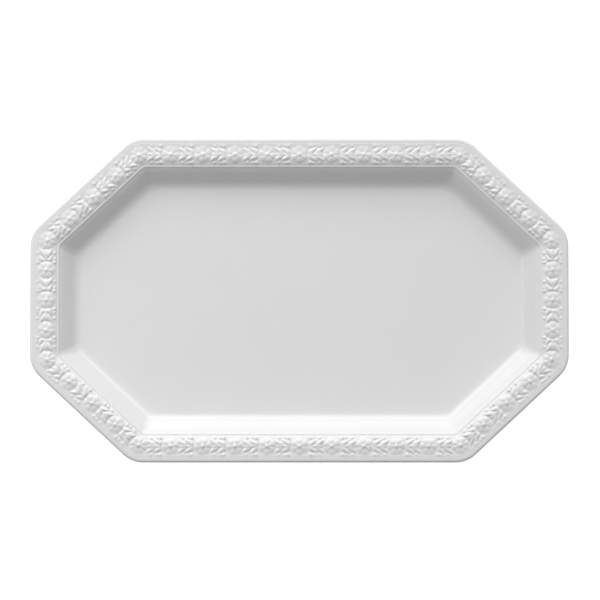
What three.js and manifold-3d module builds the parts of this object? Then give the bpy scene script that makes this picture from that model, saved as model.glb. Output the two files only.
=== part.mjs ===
// An oblong octagonal serving platter in white glazed porcelain, with a relief border of rosettes and laurel.
// Millimetres, +Z up, +X along the platter. The origin lies on the table, under the platter's middle.
import * as THREE from "three";
import { mergeVertices } from "three/addons/utils/BufferGeometryUtils.js";
import Module from "manifold-3d";

const wasm = await Module();
wasm.setup();

// Outline, seen from above
const LENGTH = 380;
const WIDTH = 229;
const CORNER_CUT_X = 72; // what a cut corner takes off a long side
const CORNER_CUT_Y = 67; // what it takes off a short side
const OUTER_CORNER_RADIUS = 21;
const BEAD_CORNER_RADIUS = 5; // the rim's corners are never sharper than this
const WELL_CORNER_RADIUS = 12; // at the floor, down the wall from the bead

// Body: floor and wall are cast to one thickness, the rim to another
const FOOT_HEIGHT = 2.5;
const BODY_THICKNESS = 4.5;
const RIM_THICKNESS = 4.5;
const WELL_DEPTH = 15.8; // from the level part of the rim down to the floor
const WALL_SLOPE = THREE.MathUtils.degToRad(52);
const SHOULDER_RADIUS = 16.5; // where the rim rolls over into the wall
const WALL_FOOT_RADIUS = 8; // where the wall turns into the floor
const UNDER_FILLET_RADIUS = 3; // under the rim, outside the wall

// Rim, from the outline inward: a plain lip, the band that carries the relief, and a bead on the shoulder
const LIP_WIDTH = 3.8;
const LIP_ROUNDING = 1.6; // how far in the edge's rounding ends
const LIP_EDGE_RISE = 2.6; // from the rim's underside up to its outermost line
const LIP_UNDERCUT = 2.8; // how far in the underside's rounding starts
const BAND_WIDTH = 15.4;
const BAND_LEVEL = 7.6; // the outer part of the band is level, the rest lies on the shoulder
const BEAD_WIDTH = 1.4;

// Foot ring, under the floor
const FOOT_SETBACK = 1.5; // from the wall's foot in to the ring
const FOOT_WIDTH = 5.5; // where it joins the floor
const FOOT_FACE_WIDTH = 3; // where it stands

// Relief
const RELIEF_MARGIN = 1.3; // bare band on either side of the relief
const RELIEF_CLEARANCE = 0.3; // between the relief and the band under it
const ROSETTE_PITCH = 22.5; // aimed at: each side takes the nearest even division
const ROSETTE_RISE = 1.6;
const SIDE_PETALS = 6;
const CORNER_PETALS = 8;
const LEAF_ANGLE = THREE.MathUtils.degToRad(36); // from the stem
const LEAF_WIDTH = 3.4;
const LEAF_RISE = 1.1;
const LEAF_STEP = 5.3; // between one pair of leaves and the next
const SPRAY_CLEARANCE = 0.6; // between a spray's tips and the rosette ahead
const STEM_WIDTH = 2;
const STEM_TOP_WIDTH = 0.9;
const STEM_RISE = 0.8;

// Facets of the curved stretches
const CORNER_STEPS = 3;
const ARC_STEPS = 2; // an arc has twice as many

const FLOOR_Z = FOOT_HEIGHT + BODY_THICKNESS;
const BAND_Z = FLOOR_Z + WELL_DEPTH;
const RIM_UNDER_Z = BAND_Z - RIM_THICKNESS;
const BAND_MIDDLE = LIP_WIDTH + BAND_WIDTH / 2;
const BEAD_INSET = LIP_WIDTH + BAND_WIDTH;
const RIM_WIDTH = BEAD_INSET + BEAD_WIDTH;
const ROSETTE_RADIUS = BAND_WIDTH / 2 - RELIEF_MARGIN;

// The shoulder's rounding starts where the band stops being level
const SHOULDER_INSET = LIP_WIDTH + BAND_LEVEL;
const SHOULDER_Z = BAND_Z - SHOULDER_RADIUS;
const shoulderAngle = (inset) => Math.acos((inset - SHOULDER_INSET) / SHOULDER_RADIUS);
const BEAD_OUTER_Z = SHOULDER_Z + SHOULDER_RADIUS * Math.sin(shoulderAngle(BEAD_INSET));
const LEDGE_Z = SHOULDER_Z + SHOULDER_RADIUS * Math.sin(shoulderAngle(RIM_WIDTH)); // where the bead sits

// The straight part of the wall takes up what its two roundings leave of the well's depth
const ROUNDINGS = SHOULDER_RADIUS + WALL_FOOT_RADIUS;
const STRAIGHT_DROP = WELL_DEPTH - ROUNDINGS * (1 - Math.cos(WALL_SLOPE));
const WALL_RUN = ROUNDINGS * Math.sin(WALL_SLOPE) + STRAIGHT_DROP / Math.tan(WALL_SLOPE);
const WALL_FOOT = SHOULDER_INSET + WALL_RUN;
const FOOT_INSET = WALL_FOOT + FOOT_SETBACK;

// The sides, anticlockwise from +X, each with its outward normal's angle and its distance from the middle
const CUT_ANGLE = Math.atan2(CORNER_CUT_X, CORNER_CUT_Y);
const CUT_DISTANCE =
  (LENGTH / 2) * Math.cos(CUT_ANGLE) + (WIDTH / 2 - CORNER_CUT_Y) * Math.sin(CUT_ANGLE);
const SIDES = [
  { name: "right", angle: 0, distance: LENGTH / 2 },
  { name: "back_right", angle: CUT_ANGLE, distance: CUT_DISTANCE },
  { name: "back", angle: Math.PI / 2, distance: WIDTH / 2 },
  { name: "back_left", angle: Math.PI - CUT_ANGLE, distance: CUT_DISTANCE },
  { name: "left", angle: Math.PI, distance: LENGTH / 2 },
  { name: "front_left", angle: Math.PI + CUT_ANGLE, distance: CUT_DISTANCE },
  { name: "front", angle: 1.5 * Math.PI, distance: WIDTH / 2 },
  { name: "front_right", angle: 2 * Math.PI - CUT_ANGLE, distance: CUT_DISTANCE },
];

const glaze = new THREE.MeshStandardMaterial({ color: 0xefefee, roughness: 0.12, metalness: 0 });
const biscuit = new THREE.MeshStandardMaterial({ color: 0xe6e4df, roughness: 0.75, metalness: 0 });

const platter = new THREE.Group();

function addPiece(name, geometry, material) {
  geometry.computeVertexNormals();
  const mesh = new THREE.Mesh(geometry, material);
  mesh.name = name;
  platter.add(mesh);
  return mesh;
}

// The outline and what follows it

const sideAfter = (i) => SIDES[(i + 1) % SIDES.length];
const turnAfter = (i) => THREE.MathUtils.euclideanModulo(sideAfter(i).angle - SIDES[i].angle, 2 * Math.PI);

// The corners tighten from the outline in to the bead, and widen again down the wall
function cornerRadius(inset) {
  const share = THREE.MathUtils.clamp((inset - RIM_WIDTH) / (WALL_FOOT - RIM_WIDTH), 0, 1);
  const least = THREE.MathUtils.lerp(BEAD_CORNER_RADIUS, WELL_CORNER_RADIUS, share);
  return Math.max(OUTER_CORNER_RADIUS - inset, least);
}

// Where side i meets the side after it, with both moved in by inset
function cornerPoint(i, inset) {
  const a = SIDES[i];
  const b = sideAfter(i);
  const alongA = a.distance - inset;
  const alongB = b.distance - inset;
  const turn = Math.sin(turnAfter(i));
  return new THREE.Vector2(
    (alongA * Math.sin(b.angle) - alongB * Math.sin(a.angle)) / turn,
    (alongB * Math.cos(a.angle) - alongA * Math.cos(b.angle)) / turn,
  );
}

// A point of the rounded corner after side i, from 0 where that side ends to 1 where the next begins
function cornerArc(i, inset, share) {
  const radius = cornerRadius(inset);
  const angle = SIDES[i].angle + turnAfter(i) * share;
  const towards = new THREE.Vector2(Math.cos(angle), Math.sin(angle));
  return cornerPoint(i, inset + radius).addScaledVector(towards, radius);
}

// The platter's outline moved in by inset, anticlockwise
function outline(inset) {
  const points = [];
  SIDES.forEach((side, i) => {
    for (let step = 0; step <= CORNER_STEPS; step++) {
      points.push(cornerArc(i, inset, step / CORNER_STEPS));
    }
  });
  return points;
}

// Triangles between rows of points, each row a closed loop
function facesBetween(rows, columns, closed) {
  const index = [];
  for (let row = 0; row < (closed ? rows : rows - 1); row++) {
    for (let column = 0; column < columns; column++) {
      const right = (column + 1) % columns;
      const here = row * columns;
      const above = ((row + 1) % rows) * columns;
      index.push(here + column, here + right, above + column);
      index.push(here + right, above + right, above + column);
    }
  }
  return index;
}

// A section carried all round the platter: x is the inset from the outline and y the height, clockwise
function ring(section) {
  const profile = section.getPoints(ARC_STEPS).slice(0, -1);
  const loops = profile.map((p) => outline(p.x).map((q) => new THREE.Vector3(q.x, q.y, p.y)));
  return new THREE.BufferGeometry()
    .setFromPoints(loops.flat())
    .setIndex(facesBetween(loops.length, loops[0].length, true));
}

// The body

// How far in the rounding under the rim starts, so that it ends on the wall's outer face
function underFilletInset() {
  const filletZ = RIM_UNDER_Z - UNDER_FILLET_RADIUS;
  const shoulder = SHOULDER_INSET * Math.sin(WALL_SLOPE) + SHOULDER_Z * Math.cos(WALL_SLOPE);
  const reach = shoulder + SHOULDER_RADIUS - BODY_THICKNESS - UNDER_FILLET_RADIUS;
  return (reach - filletZ * Math.cos(WALL_SLOPE)) / Math.sin(WALL_SLOPE);
}

const RIM_JOINT_INSET = underFilletInset();

function wellFloor() {
  const slab = { depth: BODY_THICKNESS, bevelEnabled: false };
  const geometry = new THREE.ExtrudeGeometry(new THREE.Shape(outline(WALL_FOOT)), slab);
  return geometry.translate(0, 0, FOOT_HEIGHT);
}

function wellWall() {
  const footZ = FLOOR_Z + WALL_FOOT_RADIUS;
  const heelRadius = WALL_FOOT_RADIUS + BODY_THICKNESS;
  const filletZ = RIM_UNDER_Z - UNDER_FILLET_RADIUS;
  const up = Math.PI / 2;
  const section = new THREE.Shape();
  section.moveTo(WALL_FOOT, FOOT_HEIGHT);
  section.absarc(WALL_FOOT, footZ, heelRadius, -up, -up - WALL_SLOPE, true);
  section.absarc(RIM_JOINT_INSET, filletZ, UNDER_FILLET_RADIUS, up - WALL_SLOPE, up, false);
  section.lineTo(BEAD_INSET, LEDGE_Z);
  section.lineTo(RIM_WIDTH, LEDGE_Z);
  const start = shoulderAngle(RIM_WIDTH);
  section.absarc(SHOULDER_INSET, SHOULDER_Z, SHOULDER_RADIUS, start, up - WALL_SLOPE, true);
  section.absarc(WALL_FOOT, footZ, WALL_FOOT_RADIUS, -up - WALL_SLOPE, -up, false);
  section.closePath();
  return ring(section);
}

// The top of the band, from the lip in to the bead, raised by rise
function bandLine(section, rise) {
  const end = shoulderAngle(BEAD_INSET);
  section.lineTo(LIP_WIDTH, BAND_Z + rise);
  section.absarc(SHOULDER_INSET, SHOULDER_Z + rise, SHOULDER_RADIUS, Math.PI / 2, end, true);
}

// How far below its level part the band lies at an inset
function bandDrop(inset) {
  const run = THREE.MathUtils.clamp(inset, SHOULDER_INSET, BEAD_INSET) - SHOULDER_INSET;
  return SHOULDER_RADIUS - Math.sqrt(SHOULDER_RADIUS ** 2 - run ** 2);
}

function rim() {
  const edgeZ = RIM_UNDER_Z + LIP_EDGE_RISE;
  const section = new THREE.Shape();
  section.moveTo(RIM_JOINT_INSET, RIM_UNDER_Z);
  section.lineTo(LIP_UNDERCUT, RIM_UNDER_Z);
  section.absellipse(LIP_UNDERCUT, edgeZ, LIP_UNDERCUT, LIP_EDGE_RISE, -Math.PI / 2, -Math.PI, true);
  section.absellipse(LIP_ROUNDING, edgeZ, LIP_ROUNDING, BAND_Z - edgeZ, Math.PI, Math.PI / 2, true);
  bandLine(section, 0);
  section.lineTo(BEAD_INSET, LEDGE_Z);
  section.closePath();
  return ring(section);
}

// A quarter round in the notch where the band meets the wall, level where it leaves the band
function innerBead() {
  const section = new THREE.Shape();
  section.moveTo(BEAD_INSET, LEDGE_Z);
  section.absellipse(BEAD_INSET, LEDGE_Z, BEAD_WIDTH, BEAD_OUTER_Z - LEDGE_Z, Math.PI / 2, 0, true);
  section.closePath();
  return ring(section);
}

function footRing() {
  const middle = FOOT_INSET + FOOT_WIDTH / 2;
  const section = new THREE.Shape();
  section.moveTo(middle - FOOT_FACE_WIDTH / 2, 0);
  section.quadraticCurveTo(FOOT_INSET, 0, FOOT_INSET, FOOT_HEIGHT);
  section.lineTo(FOOT_INSET + FOOT_WIDTH, FOOT_HEIGHT);
  section.quadraticCurveTo(FOOT_INSET + FOOT_WIDTH, 0, middle + FOOT_FACE_WIDTH / 2, 0);
  section.closePath();
  return ring(section);
}

// The relief's forms, each on a flat base at z 0

// A closed mound of rings of points, from its base up, under one top point
function mound(rings, top) {
  const columns = rings[0].length;
  const points = rings.flat();
  const topIndex = points.push(top) - 1;
  const baseIndex = points.push(new THREE.Vector3()) - 1;
  const index = facesBetween(rings.length, columns, false);
  const last = (rings.length - 1) * columns;
  for (let column = 0; column < columns; column++) {
    const right = (column + 1) % columns;
    index.push(last + column, last + right, topIndex);
    index.push(right, column, baseIndex);
  }
  return new THREE.BufferGeometry().setFromPoints(points).setIndex(index);
}

const polar = (radius, angle, z) => new THREE.Vector3(radius * Math.cos(angle), radius * Math.sin(angle), z);

// Petals round a domed boss. Each ring gives its radius and height, as shares of the rosette's own, on a
// petal's middle line and between two petals.
function rosette(petals) {
  const edge = { petal: [1, 0], between: [0.86, 0] };
  const crest = { petal: [0.76, 0.75], between: [0.7, 0.5] };
  const groove = { petal: [0.48, 0.5], between: [0.46, 0.45] };
  const boss = { petal: [0.36, 0.85], between: [0.36, 0.85] };
  const rings = [edge, crest, groove, boss];
  const loops = rings.map((shape) =>
    Array.from({ length: 2 * petals }, (_, k) => {
      const [radius, rise] = k % 2 ? shape.between : shape.petal;
      return polar(radius * ROSETTE_RADIUS, (Math.PI * k) / petals, rise * ROSETTE_RISE);
    }),
  );
  return mound(loops, new THREE.Vector3(0, 0, ROSETTE_RISE));
}

// The leaf's length, set by how far across the band its side reaches
const LEAF_LENGTH =
  (BAND_WIDTH / 2 - RELIEF_MARGIN - (LEAF_WIDTH / 2) * Math.cos(LEAF_ANGLE)) / Math.sin(LEAF_ANGLE);

// A pointed leaf along +X from its root, with a raised midrib. The shares are of its length, width and rise.
function leaf() {
  const belly = { along: 0.38, width: 1, rise: 1 };
  const taper = { along: 0.75, width: 0.62, rise: 0.8 };
  const at = (place, side) =>
    new THREE.Vector3(place.along * LEAF_LENGTH, (side * place.width * LEAF_WIDTH) / 2, 0);
  const rib = (place) => new THREE.Vector3(place.along * LEAF_LENGTH, 0, place.rise * LEAF_RISE);
  const root = new THREE.Vector3();
  const tip = new THREE.Vector3(LEAF_LENGTH, 0, 0);
  const edge = [root, at(belly, -1), at(taper, -1), tip, at(taper, 1), at(belly, 1)];
  const upper = [0, 1, 6, 1, 7, 6, 1, 2, 7, 2, 3, 7, 3, 4, 7, 4, 6, 7, 4, 5, 6, 5, 0, 6];
  const under = [0, 5, 1, 1, 5, 4, 1, 4, 2, 2, 4, 3];
  return new THREE.BufferGeometry()
    .setFromPoints([...edge, rib(belly), rib(taper)])
    .setIndex([...upper, ...under]);
}

// A low bar along +X, from 0 to length
function stem(length) {
  const section = new THREE.Shape();
  section.moveTo(-STEM_WIDTH / 2, 0);
  section.lineTo(STEM_WIDTH / 2, 0);
  section.lineTo(STEM_TOP_WIDTH / 2, STEM_RISE);
  section.lineTo(-STEM_TOP_WIDTH / 2, STEM_RISE);
  section.closePath();
  const geometry = new THREE.ExtrudeGeometry(section, { depth: length, bevelEnabled: false });
  return geometry.rotateX(Math.PI / 2).rotateZ(Math.PI / 2);
}

// Garlands: on each side, sprays of laurel run from the middle rosette out to the corners

const put = (geometry, x, y, turn) => geometry.rotateZ(turn).translate(x, y, 0);

// Where the last pair of leaves roots, so that its tips stop short of the rosette ahead
function leafRoot(ahead) {
  const across = LEAF_LENGTH * Math.sin(LEAF_ANGLE) - Math.abs(ahead.y);
  const away = ROSETTE_RADIUS + SPRAY_CLEARANCE;
  const along = Math.sqrt(Math.max(away * away - across * across, 0));
  return ahead.x - LEAF_LENGTH * Math.cos(LEAF_ANGLE) - along;
}

function spray(root) {
  const pieces = [];
  for (const side of [1, -1]) {
    pieces.push(put(leaf(), root, 0, side * LEAF_ANGLE));
    pieces.push(put(leaf(), root - LEAF_STEP, 0, side * LEAF_ANGLE));
  }
  return pieces;
}

// Half a garland along +X from the side's middle, up to the corner rosette at corner
function halfGarland(pitch, sprays, corner) {
  const pieces = [stem(corner.x - ROSETTE_RADIUS - SPRAY_CLEARANCE)];
  for (let k = 1; k < sprays; k++) {
    const ahead = new THREE.Vector2(k * pitch, 0);
    pieces.push(...spray(leafRoot(ahead)), put(rosette(SIDE_PETALS), ahead.x, 0, 0));
  }
  pieces.push(...spray(leafRoot(corner)));
  return pieces;
}

function solidOf(geometry) {
  const bare = geometry.index ? geometry.toNonIndexed() : geometry.clone();
  bare.deleteAttribute("normal");
  bare.deleteAttribute("uv");
  const merged = mergeVertices(bare);
  return new wasm.Manifold(
    new wasm.Mesh({
      numProp: 3,
      vertProperties: merged.attributes.position.array,
      triVerts: new Uint32Array(merged.index.array),
    }),
  );
}

function geometryOf(solid) {
  const mesh = solid.getMesh();
  return new THREE.BufferGeometry()
    .setAttribute("position", new THREE.BufferAttribute(mesh.vertProperties, 3))
    .setIndex(new THREE.BufferAttribute(mesh.triVerts, 1));
}

const joined = (forms) => forms.map(solidOf).reduce((whole, form) => whole.add(form));

// How far a point lies in from the nearest side
const insetAt = (point) =>
  Math.min(
    ...SIDES.map((side) => side.distance - point.x * Math.cos(side.angle) - point.y * Math.sin(side.angle)),
  );

// A form lowered so that it follows the band under it
function draped(form, place) {
  const points = form.attributes.position;
  for (let k = 0; k < points.count; k++) {
    const point = new THREE.Vector3().fromBufferAttribute(points, k);
    const drop = bandDrop(insetAt(point.clone().applyMatrix4(place)));
    points.setZ(k, point.z - drop);
  }
  return form;
}

// The band raised by the clearance: what lies inside it is cut off the relief
function seat() {
  const section = new THREE.Shape();
  section.moveTo(BEAD_INSET, RIM_UNDER_Z);
  section.lineTo(LIP_WIDTH, RIM_UNDER_Z);
  bandLine(section, RELIEF_CLEARANCE);
  section.closePath();
  return ring(section);
}

function addRelief(name, forms, centre, turn) {
  const place = new THREE.Matrix4().makeRotationZ(turn).setPosition(centre.x, centre.y, BAND_Z);
  const under = seat().applyMatrix4(place.clone().invert());
  const solid = joined(forms.map((form) => draped(form, place))).subtract(solidOf(under));
  const mesh = addPiece(name, geometryOf(solid), glaze);
  mesh.position.setFromMatrixPosition(place);
  mesh.rotation.z = turn;
}

const cornerRosetteCentre = (i) => cornerArc(i, BAND_MIDDLE, 0.5);

function addGarland(side, i) {
  const before = (i + SIDES.length - 1) % SIDES.length;
  const from = cornerPoint(before, BAND_MIDDLE);
  const to = cornerPoint(i, BAND_MIDDLE);
  const middle = from.clone().lerp(to, 0.5);
  const length = from.distanceTo(to);
  const sprays = Math.max(1, Math.round(length / (2 * ROSETTE_PITCH)));
  const pitch = length / (2 * sprays);
  const turn = side.angle + Math.PI / 2;
  const inFrame = (point) => point.clone().sub(middle).rotateAround(new THREE.Vector2(), -turn);
  const ahead = halfGarland(pitch, sprays, inFrame(cornerRosetteCentre(i)));
  const behind = halfGarland(pitch, sprays, inFrame(cornerRosetteCentre(before)).negate());
  behind.forEach((form) => form.rotateZ(Math.PI));
  addRelief("garland_" + side.name, [rosette(SIDE_PETALS), ...ahead, ...behind], middle, turn);
}

function addCornerRosette(side, i) {
  const turn = side.angle + turnAfter(i) / 2;
  addRelief("corner_rosette_" + (i + 1), [rosette(CORNER_PETALS)], cornerRosetteCentre(i), turn);
}

addPiece("well_floor", wellFloor(), glaze);
addPiece("well_wall", wellWall(), glaze);
addPiece("rim", rim(), glaze);
addPiece("inner_bead", innerBead(), glaze);
addPiece("foot_ring", footRing(), biscuit);
SIDES.forEach(addGarland);
SIDES.forEach(addCornerRosette);

export default platter;
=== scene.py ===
"""Looks of the octagonal serving platter: glazed body, relief border on the rim, and foot ring."""
import math

import bpy
import numpy as np
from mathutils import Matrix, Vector


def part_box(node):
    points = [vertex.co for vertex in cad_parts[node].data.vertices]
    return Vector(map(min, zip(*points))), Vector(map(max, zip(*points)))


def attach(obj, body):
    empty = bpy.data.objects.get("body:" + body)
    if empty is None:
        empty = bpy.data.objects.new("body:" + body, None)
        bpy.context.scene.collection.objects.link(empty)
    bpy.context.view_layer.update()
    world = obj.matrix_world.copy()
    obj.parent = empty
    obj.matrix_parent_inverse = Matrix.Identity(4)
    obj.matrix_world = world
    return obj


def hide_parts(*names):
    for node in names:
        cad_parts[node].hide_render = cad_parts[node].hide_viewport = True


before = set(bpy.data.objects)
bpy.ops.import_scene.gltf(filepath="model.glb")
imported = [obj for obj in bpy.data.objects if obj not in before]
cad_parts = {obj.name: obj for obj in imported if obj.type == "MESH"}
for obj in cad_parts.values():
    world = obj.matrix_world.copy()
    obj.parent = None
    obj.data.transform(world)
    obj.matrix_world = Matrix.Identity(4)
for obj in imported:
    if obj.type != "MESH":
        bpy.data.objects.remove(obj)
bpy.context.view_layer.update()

MM = 0.001

# Sizes that the frame gives. An inset is measured from the outline inward.
rim_low, rim_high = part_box("rim")
_, wall_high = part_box("well_wall")
floor_low, floor_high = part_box("well_floor")
bead_low, bead_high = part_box("inner_bead")
_, foot_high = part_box("foot_ring")
HALF_LENGTH = rim_high.x
HALF_WIDTH = rim_high.y
BAND = rim_high.z  # the level part of the rim
RIM_UNDER = rim_low.z
BEAD_TOP = bead_high.z
LEDGE = bead_low.z  # the notch in the shoulder that the bead fills
FLOOR = floor_high.z
FLOOR_UNDER = floor_low.z
RIM_JOINT_INSET = HALF_LENGTH - wall_high.x
BEAD_INSET = HALF_LENGTH - bead_high.x
WALL_FOOT = HALF_LENGTH - floor_high.x
FOOT_INSET = HALF_LENGTH - foot_high.x
BODY_THICKNESS = FLOOR - FLOOR_UNDER

# Sizes that a box can't give, as the solids have them
CORNER_CUT_X = 72 * MM
CORNER_CUT_Y = 67 * MM
OUTER_CORNER_RADIUS = 21 * MM
BEAD_CORNER_RADIUS = 5 * MM
WELL_CORNER_RADIUS = 12 * MM
WALL_SLOPE = 52  # in degrees
SHOULDER_RADIUS = 16.5 * MM
WALL_FOOT_RADIUS = 8 * MM
UNDER_FILLET_RADIUS = 3 * MM
LIP_WIDTH = 3.8 * MM
LIP_ROUNDING = 1.6 * MM
LIP_EDGE_RISE = 2.6 * MM
LIP_UNDERCUT = 2.8 * MM
BAND_LEVEL = 7.6 * MM
BEAD_WIDTH = 1.4 * MM
FOOT_WIDTH = 5.5 * MM
FOOT_FACE_WIDTH = 3 * MM
RELIEF_MARGIN = 1.3 * MM
ROSETTE_PITCH = 22.5 * MM
ROSETTE_RISE = 1.6 * MM
SIDE_PETALS = 6
CORNER_PETALS = 8
LEAF_ANGLE = math.radians(36)
LEAF_WIDTH = 3.4 * MM
LEAF_RISE = 1.1 * MM
LEAF_STEP = 5.3 * MM
SPRAY_CLEARANCE = 0.6 * MM
STEM_WIDTH = 2 * MM
STEM_RISE = 0.8 * MM

BAND_WIDTH = BEAD_INSET - LIP_WIDTH
BAND_MIDDLE = LIP_WIDTH + BAND_WIDTH / 2
SHOULDER_INSET = LIP_WIDTH + BAND_LEVEL
RIM_WIDTH = BEAD_INSET + BEAD_WIDTH
ROSETTE_RADIUS = BAND_WIDTH / 2 - RELIEF_MARGIN
LEAF_REACH = ROSETTE_RADIUS - LEAF_WIDTH / 2 * math.cos(LEAF_ANGLE)  # a leaf's tip is this far off the stem
LEAF_LENGTH = LEAF_REACH / math.sin(LEAF_ANGLE)

# What only the surface shows: petals, berries, the bead's round, and how the foot meets the floor
TIP_LEAF_START = 0.6 * MM  # ahead of the last pair of leaves
BERRY_RADIUS = 1.2 * MM
BERRY_RISE = 0.9 * MM
BERRIES = (  # ahead of the last pair's root, out from the stem, and size
    (-3.1 * MM, 5.9 * MM, 1),
    (-0.7 * MM, 6.1 * MM, 0.8),
    (3.5 * MM, 5.9 * MM, 0.8),
)
PETAL_RISE = 1.05 * MM
PETAL_SCALLOP = 0.14  # how far a petal's outline draws in between petals, as a share of the rosette
PETAL_GROOVE = 0.4 * MM  # depth of the grooves between petals
GROOVE_WIDTH = 0.55 * MM
PETAL_FLATNESS = 3.5  # the higher, the flatter a petal lies before its edge falls
PETAL_EDGE = 0.9  # the lower, the steeper that edge
BUTTON_RADIUS = 2 * MM  # in the rosette's middle
ROSETTE_GAP = 0.9 * MM  # over which leaves fade out round a rosette
BEAD_SWELL = 0.12 * MM  # how far the bead's round stands above the band beside it
BEAD_CREST = 0.9 * MM  # from the band in to the top of its round
FOOT_FLARE = 1 * MM  # radius of the round between the foot and the floor
FOOT_SEAT = 0.4 * MM  # how far the foot reaches up into the floor

# A leaf's shape, in shares and powers
CREASE_WIDTH = 0.1  # of the midrib, as a share of the leaf's width
CREASE_DEPTH = 0.3  # at the root, as a share of the leaf's height
LEAF_BELLY = 0.8  # below 1, the widest place moves towards the root
LEAF_FULLNESS = 0.85  # the lower, the blunter its ends
LEAF_ROUND = 0.8  # the lower, the steeper its edges
LEAF_END_HEIGHT = 0.55  # at root and tip, as a share of its height
LEAF_CREST = 0.9  # below 1, the highest place moves towards the root
TINY = 1e-6  # keeps a leaf's width above nothing at its ends

# How leaves and rosettes vary
LEAF_LENGTH_RANGE = (0.96, 1.04)  # shares of the length
LEAF_TURN_RANGE = (-3, 3)  # in degrees
LEAF_RISE_RANGE = (0.9, 1.1)  # shares of the rise
LEAF_BEND_RANGE = (0.2, 0.9)  # how far a tip bends towards the stem, in millimetres
ROSETTE_TURN_RANGE = (0, 1)  # in radians
SEED = 11

# How the border sits in the body
RELIEF_SINK = 0.6 * MM  # how far the body's surface lies below the band there
RELIEF_DIP = 1.2 * MM  # how far in from the lip the body takes to sink
BEAD_FLANK = 0.5 * MM  # and to rise again at the bead
RELIEF_REACH = 0.9 * MM  # how far the border runs in under the lip and the bead
RELIEF_TUCK = 0.35 * MM  # and how far it dips there
RELIEF_DEPTH = 1.0 * MM  # from the band down to the border's base
RELIEF_HOLLOW = 0.45 * MM  # how deep the band dips between the lip and the bead
HOLLOW_SKEW = 0.8  # below 1, the deepest place moves towards the lip
OUTER_SHARE = 0.5  # the forms' height beside the lip, against that over the shoulder
OUTSIDE = -0.5 * MM  # the height of a form off the form
FORM_MARGIN = 1.05  # how far past its reach a form is worked out, as a factor

# Glaze
BODY_GLAZE_PASSES = 12
RELIEF_GLAZE_PASSES = 5
GLAZE_FILL = 0.2 * MM  # how softly it fills the join of two forms

# Fineness of the meshes
CORNER_STEPS = 12
SIDE_STEP = 24 * MM
PROFILE_STEP = 0.25 * MM
RELIEF_STEP = 0.27 * MM
CAP_INSET = 52 * MM  # the floor is one flat face further in than this
ARC_STEPS = 24
EASE_STEPS = 12
FOOT_ARC_STEPS = 10
FLARE_STEPS = 8

# Materials. A noise is its features to the metre and its detail.
WHITE = (1, 1, 1, 1)
GLAZE_SHADES = ((0.79, 0.79, 0.79, 1), (0.815, 0.815, 0.813, 1))
GLAZE_CLOUD = (45, 3)
GLAZE_ROUGHNESS = (0.06, 0.14)
GLAZE_ROUGHNESS_NOISE = (60, 2)
GLAZE_SPECULAR = 0.35
GLAZE_RIPPLE = (140, 2)
RIPPLE_DEPTH = 0.02 * MM
RIPPLE_STRENGTH = 0.25
BISCUIT_SHADES = ((0.74, 0.73, 0.71, 1), (0.82, 0.81, 0.79, 1))
BISCUIT_CLOUD = (900, 4)
BISCUIT_ROUGHNESS = 0.8
TABLE_COLOUR = (0.6, 0.6, 0.6, 1)
TABLE_GLOW = 0.88  # for rays that see the table directly

# Light and camera, in metres and watts where nothing else is said
PHOTO_PX = 600  # the photograph's side, and below it where the platter lies in it
PLATTER_LENGTH_PX = 539.3
PLATTER_CENTRE_PX = (299.4, 300)
CAMERA_HEIGHT = 2.6
CAMERA_TO_FRONT = 0.12
SENSOR_WIDTH_MM = 36
CAMERA_REACH = 100
TABLE_SIZE = 30
TABLE_DROP = 0.05 * MM  # keeps it clear of the foot
AMBIENT = 0.27
# A softbox is a panel's width and height, its power, and where it stands from the platter
BACK_SOFTBOX = {
    "size": (10, 5),
    "power": 418,
    "distance": 6,
    "elevation": math.radians(37),
    "azimuth": math.radians(95),
}
LEFT_SOFTBOX = {
    "size": (0.8, 0.8),
    "power": 1.6,
    "distance": 0.9,
    "elevation": math.radians(40),
    "azimuth": math.radians(150),
}

rng = np.random.default_rng(SEED)


# The outline and what follows it

CUT_ANGLE = math.atan2(CORNER_CUT_X, CORNER_CUT_Y)
CUT_DISTANCE = HALF_LENGTH * math.cos(CUT_ANGLE) + (HALF_WIDTH - CORNER_CUT_Y) * math.sin(CUT_ANGLE)
SIDES = [
    ("right", 0, HALF_LENGTH),
    ("back_right", CUT_ANGLE, CUT_DISTANCE),
    ("back", math.pi / 2, HALF_WIDTH),
    ("back_left", math.pi - CUT_ANGLE, CUT_DISTANCE),
    ("left", math.pi, HALF_LENGTH),
    ("front_left", math.pi + CUT_ANGLE, CUT_DISTANCE),
    ("front", 1.5 * math.pi, HALF_WIDTH),
    ("front_right", 2 * math.pi - CUT_ANGLE, CUT_DISTANCE),
]
SIDE_COUNT = len(SIDES)


def direction(angle):
    """Unit vectors at one angle or at several."""
    return np.stack([np.cos(angle), np.sin(angle)], axis=-1)


def turn_after(i):
    """How far the outline turns at the corner after side i."""
    return (SIDES[(i + 1) % SIDE_COUNT][1] - SIDES[i][1]) % (2 * math.pi)


def corner_point(i, inset):
    """Where side i meets the next one, with both moved in."""
    _, angle_a, distance_a = SIDES[i]
    _, angle_b, distance_b = SIDES[(i + 1) % SIDE_COUNT]
    lines = np.array([direction(angle_a), direction(angle_b)])
    return np.linalg.solve(lines, np.array([distance_a - inset, distance_b - inset]))


def corner_radius(inset):
    """Corners tighten from the outline in to the bead, and widen again down the wall."""
    share = np.clip((inset - RIM_WIDTH) / (WALL_FOOT - RIM_WIDTH), 0, 1)
    least = BEAD_CORNER_RADIUS + (WELL_CORNER_RADIUS - BEAD_CORNER_RADIUS) * share
    return max(OUTER_CORNER_RADIUS - inset, least)


def corner_arc(i, inset, shares):
    """Points of the rounded corner after side i, for shares from 0 at its start to 1 at its end."""
    radius = corner_radius(inset)
    angles = SIDES[i][1] + turn_after(i) * np.asarray(shares)
    return corner_point(i, inset + radius) + radius * direction(angles)


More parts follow.
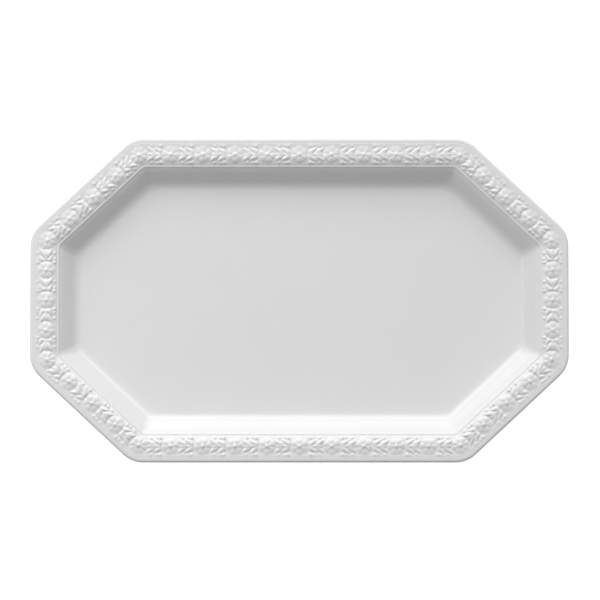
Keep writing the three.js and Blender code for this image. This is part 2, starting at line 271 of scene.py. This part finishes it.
def side_columns(i):
    """How many steps the straight after corner i is cut into."""
    length = np.linalg.norm(corner_arc((i + 1) % SIDE_COUNT, 0, 0) - corner_arc(i, 0, 1))
    return max(1, round(length / SIDE_STEP))


def outline(inset):
    """The platter's outline moved in, anticlockwise, with even steps along the straights."""
    shares = np.linspace(0, 1, CORNER_STEPS + 1)
    points = []
    for i in range(SIDE_COUNT):
        bend = corner_arc(i, inset, shares)
        straight = np.linspace(bend[-1], corner_arc((i + 1) % SIDE_COUNT, inset, 0), side_columns(i) + 1)
        points.extend([bend, straight[1:-1]])
    return np.concatenate(points)


# Meshes

def add_piece(name, points, faces, material, nodes):
    """A smooth mesh that rides on the platter and stands for some of its solids."""
    mesh = bpy.data.meshes.new(name)
    mesh.from_pydata(points.tolist(), [], faces)
    mesh.shade_smooth()
    mesh.materials.append(material)
    piece = bpy.data.objects.new(name, mesh)
    bpy.context.scene.collection.objects.link(piece)
    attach(piece, "root")
    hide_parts(*nodes)
    return piece


def loop_faces(rows, columns):
    """Quads between rows of points that each close on themselves."""
    row, column = np.mgrid[0 : rows - 1, 0:columns]
    right = (column + 1) % columns
    below = row * columns
    above = below + columns
    quads = np.stack([below + column, below + right, above + right, above + column], axis=-1)
    return quads.reshape(-1, 4).tolist()


def lofted(profile):
    """Points of a profile of insets and heights carried round the platter."""
    rows = []
    for inset, height in profile:
        loop = outline(inset)
        rows.append(np.column_stack([loop, np.full(len(loop), height)]))
    return np.array(rows)


# Profiles: points of inset and height

def arc(centre, radii, start, end, steps=ARC_STEPS):
    """An elliptic arc between two angles in degrees."""
    angles = np.radians(np.linspace(start, end, steps + 1))
    return np.asarray(centre) + direction(angles) * np.asarray(radii)


def eased(start, end, steps=EASE_STEPS):
    """A stretch that leaves and arrives level."""
    share = np.linspace(0, 1, steps + 1)
    rise = (1 - np.cos(math.pi * share)) / 2
    inset = start[0] + (end[0] - start[0]) * share
    return np.column_stack([inset, start[1] + (end[1] - start[1]) * rise])


def evenly(points, step):
    """The same line with points at even steps."""
    lengths = np.concatenate([[0], np.cumsum(np.linalg.norm(np.diff(points, axis=0), axis=1))])
    places = np.linspace(0, lengths[-1], max(2, round(lengths[-1] / step)) + 1)
    return np.column_stack([np.interp(places, lengths, points[:, k]) for k in range(2)])


def softened(points, passes):
    """The line with its corners rounded, its ends kept."""
    for _ in range(passes):
        points = points.copy()
        points[1:-1] = (points[:-2] + 2 * points[1:-1] + points[2:]) / 4
    return points


def band(inset):
    """The height of the band that carries the border: level at first, then rolling over the shoulder."""
    run = np.maximum(inset - SHOULDER_INSET, 0)
    return BAND - SHOULDER_RADIUS + np.sqrt(SHOULDER_RADIUS**2 - run**2)


def under_profile():
    """From under the floor, up the outside of the wall and out to the rim's outermost line."""
    heel = WALL_FOOT_RADIUS + BODY_THICKNESS
    fillet = UNDER_FILLET_RADIUS
    return [
        [(CAP_INSET, FLOOR_UNDER)],
        arc((WALL_FOOT, FLOOR + WALL_FOOT_RADIUS), (heel, heel), -90, -90 - WALL_SLOPE),
        arc((RIM_JOINT_INSET, RIM_UNDER - fillet), (fillet, fillet), 90 - WALL_SLOPE, 90),
        arc((LIP_UNDERCUT, RIM_UNDER + LIP_EDGE_RISE), (LIP_UNDERCUT, LIP_EDGE_RISE), -90, -180),
    ]


def rim_profile():
    """From the rim's outermost line over the lip, under the border and over the bead."""
    edge = RIM_UNDER + LIP_EDGE_RISE
    crest = BEAD_INSET + BEAD_CREST
    sunk = np.linspace(LIP_WIDTH + RELIEF_DIP, BEAD_INSET - BEAD_FLANK)
    sunk_band = np.column_stack([sunk, band(sunk) - RELIEF_SINK])
    return [
        arc((LIP_ROUNDING, edge), (LIP_ROUNDING, BAND - edge), 180, 90),
        eased((LIP_WIDTH, BAND), sunk_band[0]),
        sunk_band,
        eased(sunk_band[-1], (BEAD_INSET, BEAD_TOP)),
        arc((crest, BEAD_TOP), (BEAD_CREST, BEAD_SWELL), 180, 90),
        arc((crest, LEDGE), (BEAD_WIDTH - BEAD_CREST, BEAD_TOP + BEAD_SWELL - LEDGE), 90, 0),
    ]


def well_profile():
    """From the bead over the rest of the shoulder, down the wall and in to the floor."""
    shoulder = SHOULDER_RADIUS
    foot = WALL_FOOT_RADIUS
    start = math.degrees(math.acos((RIM_WIDTH - SHOULDER_INSET) / shoulder))
    return [
        arc((SHOULDER_INSET, BAND - shoulder), (shoulder, shoulder), start, 90 - WALL_SLOPE),
        arc((WALL_FOOT, FLOOR + foot), (foot, foot), -90 - WALL_SLOPE, -90),
        [(CAP_INSET, FLOOR)],
    ]


def make_body(material):
    """The glazed body, in one piece from the floor to the rim."""
    profile = np.concatenate(under_profile() + rim_profile() + well_profile())
    points = lofted(softened(evenly(profile, PROFILE_STEP), BODY_GLAZE_PASSES))
    rows, columns = points.shape[:2]
    under_cap = list(range(columns))[::-1]
    floor_cap = list(range((rows - 1) * columns, rows * columns))
    faces = loop_faces(rows, columns) + [under_cap, floor_cap]
    nodes = ["well_floor", "well_wall", "rim", "inner_bead"]
    return add_piece("glazed_body", points.reshape(-1, 3), faces, material, nodes)


def make_foot(material):
    """The ring that the platter stands on."""
    middle = FOOT_INSET + FOOT_WIDTH / 2
    half = FOOT_WIDTH / 2
    half_face = FOOT_FACE_WIDTH / 2
    round_off = half - half_face
    top = FLOOR_UNDER + FOOT_SEAT
    flare_height = FLOOR_UNDER - FOOT_FLARE
    flare = (FOOT_FLARE, FOOT_FLARE)
    profile = np.concatenate(
        [
            [(middle + half_face, 0), (middle - half_face, 0)],
            arc((middle - half_face, round_off), (round_off, round_off), -90, -180, FOOT_ARC_STEPS),
            arc((middle - half - FOOT_FLARE, flare_height), flare, 0, 90, FLARE_STEPS),
            [(middle - half - FOOT_FLARE, top), (middle + half + FOOT_FLARE, top)],
            arc((middle + half + FOOT_FLARE, flare_height), flare, 90, 180, FLARE_STEPS),
            arc((middle + half_face, round_off), (round_off, round_off), 0, -90, FOOT_ARC_STEPS)[:-1],
        ]
    )
    points = lofted(profile)
    rows, columns = points.shape[:2]
    faces = loop_faces(rows, columns)
    last = (rows - 1) * columns
    for column in range(columns):
        right = (column + 1) % columns
        faces.append([last + column, last + right, right, column])
    return add_piece("foot_ring_bare", points.reshape(-1, 3), faces, material, ["foot_ring"])


# The border's forms. Each gives its height over the band at points in its own frame.

def smooth_max(a, b):
    """The larger of two heights, with the join filled."""
    share = np.clip(0.5 + 0.5 * (a - b) / GLAZE_FILL, 0, 1)
    return b + (a - b) * share + GLAZE_FILL * share * (1 - share)


def leaf(length, width, rise, bend):
    """A slender leaf along +X from its root: two halves that fall away from a creased midrib."""
    crease_width = CREASE_WIDTH * width

    def height(x, y):
        share = np.clip(x / length, TINY, 1 - TINY)
        across = np.abs(y - bend * share**2)
        half = width / 2 * np.sin(math.pi * share**LEAF_BELLY) ** LEAF_FULLNESS
        spread = across / half
        blade = np.clip(1 - spread**2, 0, 1) ** LEAF_ROUND
        swell = LEAF_END_HEIGHT + (1 - LEAF_END_HEIGHT) * np.sin(math.pi * share**LEAF_CREST)
        crease = CREASE_DEPTH * np.exp(-((across / crease_width) ** 2)) * (1 - share)
        on_leaf = (spread < 1) & (x > 0) & (x < length)
        return np.where(on_leaf, rise * swell * (blade - crease), OUTSIDE)

    return height


def dome(radius, rise):
    """A round berry or button."""

    def height(x, y):
        share = np.hypot(x, y) / radius
        return np.where(share < 1, rise * np.sqrt(np.clip(1 - share**2, 0, 1)), OUTSIDE)

    return height


def rosette(radius, rise, count):
    """A flat flower: broad petals that part in grooves, round a domed button."""
    step = 2 * math.pi / count
    button = dome(BUTTON_RADIUS, rise)

    def height(x, y):
        far = np.hypot(x, y)
        angle = np.abs((np.arctan2(y, x) + step / 2) % step - step / 2)
        edge = radius * (1 - PETAL_SCALLOP * (2 * angle / step) ** 2)
        full = np.clip(1 - (far / edge) ** PETAL_FLATNESS, 0, 1) ** PETAL_EDGE
        from_groove = far * np.sin(step / 2 - angle)
        groove = PETAL_GROOVE * np.exp(-((from_groove / GROOVE_WIDTH) ** 2)) * full
        petals = np.where(far < edge, PETAL_RISE * full - groove, OUTSIDE)
        return smooth_max(petals, button(x, y))

    return height


def stem(length, width, rise):
    """A round bar along +X."""

    def height(x, y):
        share = np.abs(y) / (width / 2)
        on_stem = (share < 1) & (x > 0) & (x < length)
        return np.where(on_stem, rise * np.sqrt(np.clip(1 - share**2, 0, 1)), OUTSIDE)

    return height


# The border's plan: every form with its place, turn and reach

forms = []
rosettes = []


def side_frame(i):
    """A side's middle on the band, the angle along it, and its length between corners."""
    start = corner_point((i - 1) % SIDE_COUNT, BAND_MIDDLE)
    end = corner_point(i, BAND_MIDDLE)
    return (start + end) / 2, SIDES[i][1] + math.pi / 2, np.linalg.norm(end - start)


def corner_centre(i):
    """The middle of the rosette at the corner after side i."""
    return corner_arc(i, BAND_MIDDLE, 0.5)


def in_frame(point, middle, angle):
    """A point seen from a side's middle, x along the side and y inward."""
    offset = np.asarray(point) - middle
    return np.stack([offset @ direction(angle), offset @ direction(angle + math.pi / 2)], axis=-1)


def add_form(height, reach, place, turn, middle, angle, clears=0):
    """A form placed in a side's frame. What lies within the radius that it clears makes way for it."""
    x, y = place
    world = middle + x * direction(angle) + y * direction(angle + math.pi / 2)
    forms.append((world, angle + turn, reach, height, clears))


def add_rosette(petals, place, turn, middle, angle):
    """A rosette that lies on top of the leaves round it."""
    form = rosette(ROSETTE_RADIUS, ROSETTE_RISE, petals)
    reach = ROSETTE_RADIUS + ROSETTE_GAP
    rosettes.append((form, reach, place, turn, middle, angle, ROSETTE_RADIUS))


def leaf_root(ahead):
    """Where the last pair of leaves roots, so that its tips stop short of the rosette ahead."""
    across = LEAF_LENGTH * math.sin(LEAF_ANGLE) - abs(ahead[1])
    away = ROSETTE_RADIUS + SPRAY_CLEARANCE
    return ahead[0] - LEAF_LENGTH * math.cos(LEAF_ANGLE) - math.sqrt(max(away**2 - across**2, 0))


def add_leaf_pair(root, middle, angle):
    """A leaf to either side of the stem, no two quite alike."""
    for side in (1, -1):
        length = LEAF_LENGTH * rng.uniform(*LEAF_LENGTH_RANGE)
        turn = side * (LEAF_ANGLE + math.radians(rng.uniform(*LEAF_TURN_RANGE)))
        rise = LEAF_RISE * rng.uniform(*LEAF_RISE_RANGE)
        bend = -side * rng.uniform(*LEAF_BEND_RANGE) * MM
        add_form(leaf(length, LEAF_WIDTH, rise, bend), length, (root, 0), turn, middle, angle)


def add_spray(ahead, middle, angle):
    """Two pairs of leaves, a leaf at the tip and berries beside them, up to the rosette ahead."""
    root = leaf_root(ahead)
    add_leaf_pair(root - LEAF_STEP, middle, angle)
    add_leaf_pair(root, middle, angle)
    tip_start = root + TIP_LEAF_START
    tip_length = ahead[0] - ROSETTE_RADIUS - SPRAY_CLEARANCE - tip_start
    add_form(leaf(tip_length, LEAF_WIDTH, LEAF_RISE, 0), tip_length, (tip_start, 0), 0, middle, angle)
    for side in (1, -1):
        for x, y, size in BERRIES:
            berry = dome(size * BERRY_RADIUS, size * BERRY_RISE)
            add_form(berry, size * BERRY_RADIUS, (root + x, side * y), 0, middle, angle)


def add_half_garland(pitch, sprays, corner, middle, angle):
    """Rosettes and sprays from a side's middle towards one corner."""
    length = corner[0]
    add_form(stem(length, STEM_WIDTH, STEM_RISE), length, (0, 0), 0, middle, angle)
    for k in range(1, sprays):
        ahead = np.array([k * pitch, 0.0])
        add_spray(ahead, middle, angle)
        add_rosette(SIDE_PETALS, ahead, rng.uniform(*ROSETTE_TURN_RANGE), middle, angle)
    add_spray(corner, middle, angle)


def plan_border():
    """Every form of the border."""
    for i in range(SIDE_COUNT):
        middle, angle, length = side_frame(i)
        sprays = max(1, round(length / (2 * ROSETTE_PITCH)))
        pitch = length / (2 * sprays)
        ahead = in_frame(corner_centre(i), middle, angle)
        behind = in_frame(corner_centre((i - 1) % SIDE_COUNT), middle, angle)
        add_half_garland(pitch, sprays, ahead, middle, angle)
        add_half_garland(pitch, sprays, -behind, middle, angle + math.pi)
        add_rosette(SIDE_PETALS, (0, 0), math.pi / SIDE_PETALS, middle, angle)
        add_rosette(CORNER_PETALS, ahead, turn_after(i) / 2, middle, angle)
    for placed in rosettes:
        add_form(*placed)


def border_height(points):
    """The border's height over the band at a grid of points."""
    height = np.zeros(points.shape[:2])
    low, high = points.min(axis=(0, 1)), points.max(axis=(0, 1))
    for place, turn, reach, form, clears in forms:
        if np.any(place + reach < low) or np.any(place - reach > high):
            continue
        offset = points - place
        far = np.hypot(offset[..., 0], offset[..., 1])
        near = far < reach * FORM_MARGIN
        if clears:
            height[near] *= np.clip((far[near] - clears) / ROSETTE_GAP, 0, 1)
        x = offset[near] @ direction(turn)
        y = offset[near] @ direction(turn + math.pi / 2)
        height[near] = smooth_max(height[near], form(x, y))
    return height


# The border's pieces

relief_insets = np.linspace(
    LIP_WIDTH - RELIEF_REACH,
    BEAD_INSET + RELIEF_REACH,
    round((BAND_WIDTH + 2 * RELIEF_REACH) / RELIEF_STEP) + 1,
)


def seam(i, at_end):
    """How far along a side, from its middle, its border meets the piece at a corner."""
    middle, angle, _ = side_frame(i)
    corner = corner_centre(i if at_end else (i - 1) % SIDE_COUNT)
    return abs(in_frame(corner, middle, angle)[0]) - ROSETTE_RADIUS - SPRAY_CLEARANCE / 2


def seam_points(i, at_end):
    """The points across the band where a side's border meets the piece at a corner."""
    middle, angle, _ = side_frame(i)
    along = seam(i, at_end) * (1 if at_end else -1)
    across = (relief_insets - BAND_MIDDLE)[:, None] * direction(angle + math.pi / 2)
    return middle + along * direction(angle) + across


def side_grid(i):
    """Points over a side's border, from the lip inward and along the side."""
    start, end = seam_points(i, False), seam_points(i, True)
    steps = round(np.linalg.norm(end[0] - start[0]) / RELIEF_STEP)
    share = np.linspace(0, 1, steps + 1)[None, :, None]
    return start[:, None] + (end - start)[:, None] * share


def corner_grid(i):
    """Points over the border at the corner after side i."""
    start, end = seam_points(i, True), seam_points((i + 1) % SIDE_COUNT, False)
    steps = round(ROSETTE_RADIUS / RELIEF_STEP)
    shares = np.linspace(0, 1, steps + 1)
    rows = []
    for k, inset in enumerate(relief_insets):
        bend = corner_arc(i, inset, shares)
        before = np.linspace(start[k], bend[0], steps + 1)
        after = np.linspace(bend[-1], end[k], steps + 1)
        rows.append(np.concatenate([before[:-1], bend, after[1:]]))
    return np.array(rows)


def glazed(height):
    """Heights softened as a coat of glaze does, with the border's edges kept."""
    for _ in range(RELIEF_GLAZE_PASSES):
        height[1:-1] = (height[:-2] + 2 * height[1:-1] + height[2:]) / 4
        height[:, 1:-1] = (height[:, :-2] + 2 * height[:, 1:-1] + height[:, 2:]) / 4
    return height


def make_relief(name, grid, material, node):
    """A closed length of the border: its modelled top on a plain base inside the rim."""
    rows, columns = grid.shape[:2]
    under_lip = np.clip((LIP_WIDTH - relief_insets) / RELIEF_REACH, 0, 1)
    under_bead = np.clip((relief_insets - BEAD_INSET) / RELIEF_REACH, 0, 1)
    from_lip = np.clip((relief_insets - LIP_WIDTH) / BAND_LEVEL, 0, 1)
    across = np.clip((relief_insets - LIP_WIDTH) / BAND_WIDTH, 0, 1)
    hollow = RELIEF_HOLLOW * np.sin(math.pi * across**HOLLOW_SKEW) ** 2
    ground = band(relief_insets) - hollow - RELIEF_TUCK * (under_lip + under_bead)
    share = OUTER_SHARE + (1 - OUTER_SHARE) * from_lip
    height = ground[:, None] + share[:, None] * glazed(border_height(grid))
    top = np.concatenate([grid, height[..., None]], axis=-1)
    base = top[[0, -1]].copy()
    base[..., 2] = (band(relief_insets[[0, -1]]) - RELIEF_DEPTH)[:, None]
    points = np.concatenate([top.reshape(-1, 3), base.reshape(-1, 3)])
    outer_base = rows * columns
    inner_base = outer_base + columns
    row, column = np.mgrid[0 : rows - 1, 0 : columns - 1]
    here = row * columns + column
    quads = np.stack([here, here + 1, here + columns + 1, here + columns], axis=-1)
    faces = quads.reshape(-1, 4).tolist()
    for k in range(columns - 1):
        last = (rows - 1) * columns + k
        faces.append([k + 1, k, outer_base + k, outer_base + k + 1])
        faces.append([last, last + 1, inner_base + k + 1, inner_base + k])
        faces.append([outer_base + k + 1, outer_base + k, inner_base + k, inner_base + k + 1])
    first_end = [r * columns for r in range(rows)] + [inner_base, outer_base]
    last_end = [r * columns + columns - 1 for r in range(rows)][::-1]
    last_end += [outer_base + columns - 1, inner_base + columns - 1]
    faces += [first_end, last_end]
    return add_piece(name, points, faces, material, [node])


# Materials

def new_material(name):
    """A material with a Principled shader, with its nodes and links."""
    material = bpy.data.materials.new(name)
    material.use_nodes = True
    tree = material.node_tree
    return material, tree, tree.nodes["Principled BSDF"]


def noise(tree, scale, detail):
    """Noise over the object, its scale in features to the metre."""
    place = tree.nodes.new("ShaderNodeTexCoord")
    node = tree.nodes.new("ShaderNodeTexNoise")
    node.inputs["Scale"].default_value = scale
    node.inputs["Detail"].default_value = detail
    tree.links.new(place.outputs["Object"], node.inputs["Vector"])
    return node.outputs["Fac"]


def mapped(tree, value, low, high):
    """A value from 0 to 1 spread from low to high."""
    node = tree.nodes.new("ShaderNodeMapRange")
    node.inputs["To Min"].default_value = low
    node.inputs["To Max"].default_value = high
    tree.links.new(value, node.inputs["Value"])
    return node.outputs["Result"]


def clouded(tree, shader, shades, cloud):
    """Gives the shader a colour that drifts between two shades."""
    tint = tree.nodes.new("ShaderNodeMix")
    tint.data_type = "RGBA"
    tint.inputs["A"].default_value, tint.inputs["B"].default_value = shades
    tree.links.new(noise(tree, *cloud), tint.inputs["Factor"])
    tree.links.new(tint.outputs["Result"], shader.inputs["Base Color"])


def glaze_material(name):
    """White porcelain under a clear gloss glaze."""
    material, tree, shader = new_material(name)
    clouded(tree, shader, GLAZE_SHADES, GLAZE_CLOUD)
    roughness = mapped(tree, noise(tree, *GLAZE_ROUGHNESS_NOISE), *GLAZE_ROUGHNESS)
    tree.links.new(roughness, shader.inputs["Roughness"])
    shader.inputs["Specular IOR Level"].default_value = GLAZE_SPECULAR
    bump = tree.nodes.new("ShaderNodeBump")
    bump.inputs["Strength"].default_value = RIPPLE_STRENGTH
    bump.inputs["Distance"].default_value = RIPPLE_DEPTH
    tree.links.new(noise(tree, *GLAZE_RIPPLE), bump.inputs["Height"])
    tree.links.new(bump.outputs["Normal"], shader.inputs["Normal"])
    return material


def biscuit_material():
    """Bare fired porcelain, fine and matt."""
    material, tree, shader = new_material("biscuit")
    clouded(tree, shader, BISCUIT_SHADES, BISCUIT_CLOUD)
    shader.inputs["Roughness"].default_value = BISCUIT_ROUGHNESS
    return material


# Light, table and camera

def make_camera():
    """Above the platter and a little to its front, through a long lens."""
    data = bpy.data.cameras.new("camera")
    camera = bpy.data.objects.new("camera", data)
    bpy.context.scene.collection.objects.link(camera)
    pixel = 2 * HALF_LENGTH / PLATTER_LENGTH_PX
    centre_x, centre_y = PLATTER_CENTRE_PX
    aside = (PHOTO_PX / 2 - centre_x) * pixel
    ahead = (centre_y - PHOTO_PX / 2) * pixel
    camera.location = (aside, ahead - CAMERA_TO_FRONT, CAMERA_HEIGHT + BAND)
    to_platter = Vector((0, CAMERA_TO_FRONT, -CAMERA_HEIGHT))
    camera.rotation_euler = to_platter.to_track_quat("-Z", "Y").to_euler()
    data.sensor_width = SENSOR_WIDTH_MM
    data.lens = SENSOR_WIDTH_MM * to_platter.length / (PHOTO_PX * pixel)
    data.clip_end = CAMERA_REACH
    bpy.context.scene.camera = camera


def seen_directly(tree):
    """1 for rays from the camera and for sharp reflections, else 0."""
    path = tree.nodes.new("ShaderNodeLightPath")
    largest = path.outputs["Is Camera Ray"]
    for name in ("Is Glossy Ray", "Is Transmission Ray"):
        node = tree.nodes.new("ShaderNodeMath")
        node.operation = "MAXIMUM"
        tree.links.new(largest, node.inputs[0])
        tree.links.new(path.outputs[name], node.inputs[1])
        largest = node.outputs[0]
    return largest


def make_world():
    """Even white light from all round, and a white background."""
    world = bpy.data.worlds.new("studio")
    bpy.context.scene.world = world
    world.use_nodes = True
    tree = world.node_tree
    background = tree.nodes["Background"]
    background.inputs["Color"].default_value = WHITE
    tree.links.new(mapped(tree, seen_directly(tree), AMBIENT, 1), background.inputs["Strength"])


def make_table():
    """A white table that keeps a faint shadow."""
    mesh = bpy.data.meshes.new("table")
    half = TABLE_SIZE / 2
    corners = [(-half, -half, 0), (half, -half, 0), (half, half, 0), (-half, half, 0)]
    mesh.from_pydata(corners, [], [(0, 1, 2, 3)])
    table = bpy.data.objects.new("table", mesh)
    table.location.z = -TABLE_DROP
    bpy.context.scene.collection.objects.link(table)
    material, tree, shader = new_material("table_white")
    shader.inputs["Base Color"].default_value = TABLE_COLOUR
    shader.inputs["Roughness"].default_value = 1
    shader.inputs["Specular IOR Level"].default_value = 0
    shader.inputs["Emission Color"].default_value = WHITE
    glow = mapped(tree, seen_directly(tree), 0, TABLE_GLOW)
    tree.links.new(glow, shader.inputs["Emission Strength"])
    mesh.materials.append(material)


def make_softbox(name, size, power, distance, elevation, azimuth):
    """A soft light that faces the platter's middle."""
    data = bpy.data.lights.new(name, "AREA")
    data.shape = "RECTANGLE"
    data.size, data.size_y = size
    data.energy = power
    lamp = bpy.data.objects.new(name, data)
    bpy.context.scene.collection.objects.link(lamp)
    aside, ahead = distance * math.cos(elevation) * direction(azimuth)
    lamp.location = (aside, ahead, distance * math.sin(elevation))
    lamp.rotation_euler = (-lamp.location).to_track_quat("-Z", "Y").to_euler()


bpy.context.scene.view_settings.view_transform = "Standard"
make_camera()
make_world()
make_table()
make_softbox("back_softbox", **BACK_SOFTBOX)
make_softbox("left_softbox", **LEFT_SOFTBOX)

relief_glaze = glaze_material("porcelain_relief_glaze")
make_body(glaze_material("porcelain_glaze"))
make_foot(biscuit_material())
plan_border()
for i, (side_name, _, _) in enumerate(SIDES):
    make_relief(f"relief_{side_name}", side_grid(i), relief_glaze, f"garland_{side_name}")
    make_relief(f"relief_corner_{i + 1}", corner_grid(i), relief_glaze, f"corner_rosette_{i + 1}")
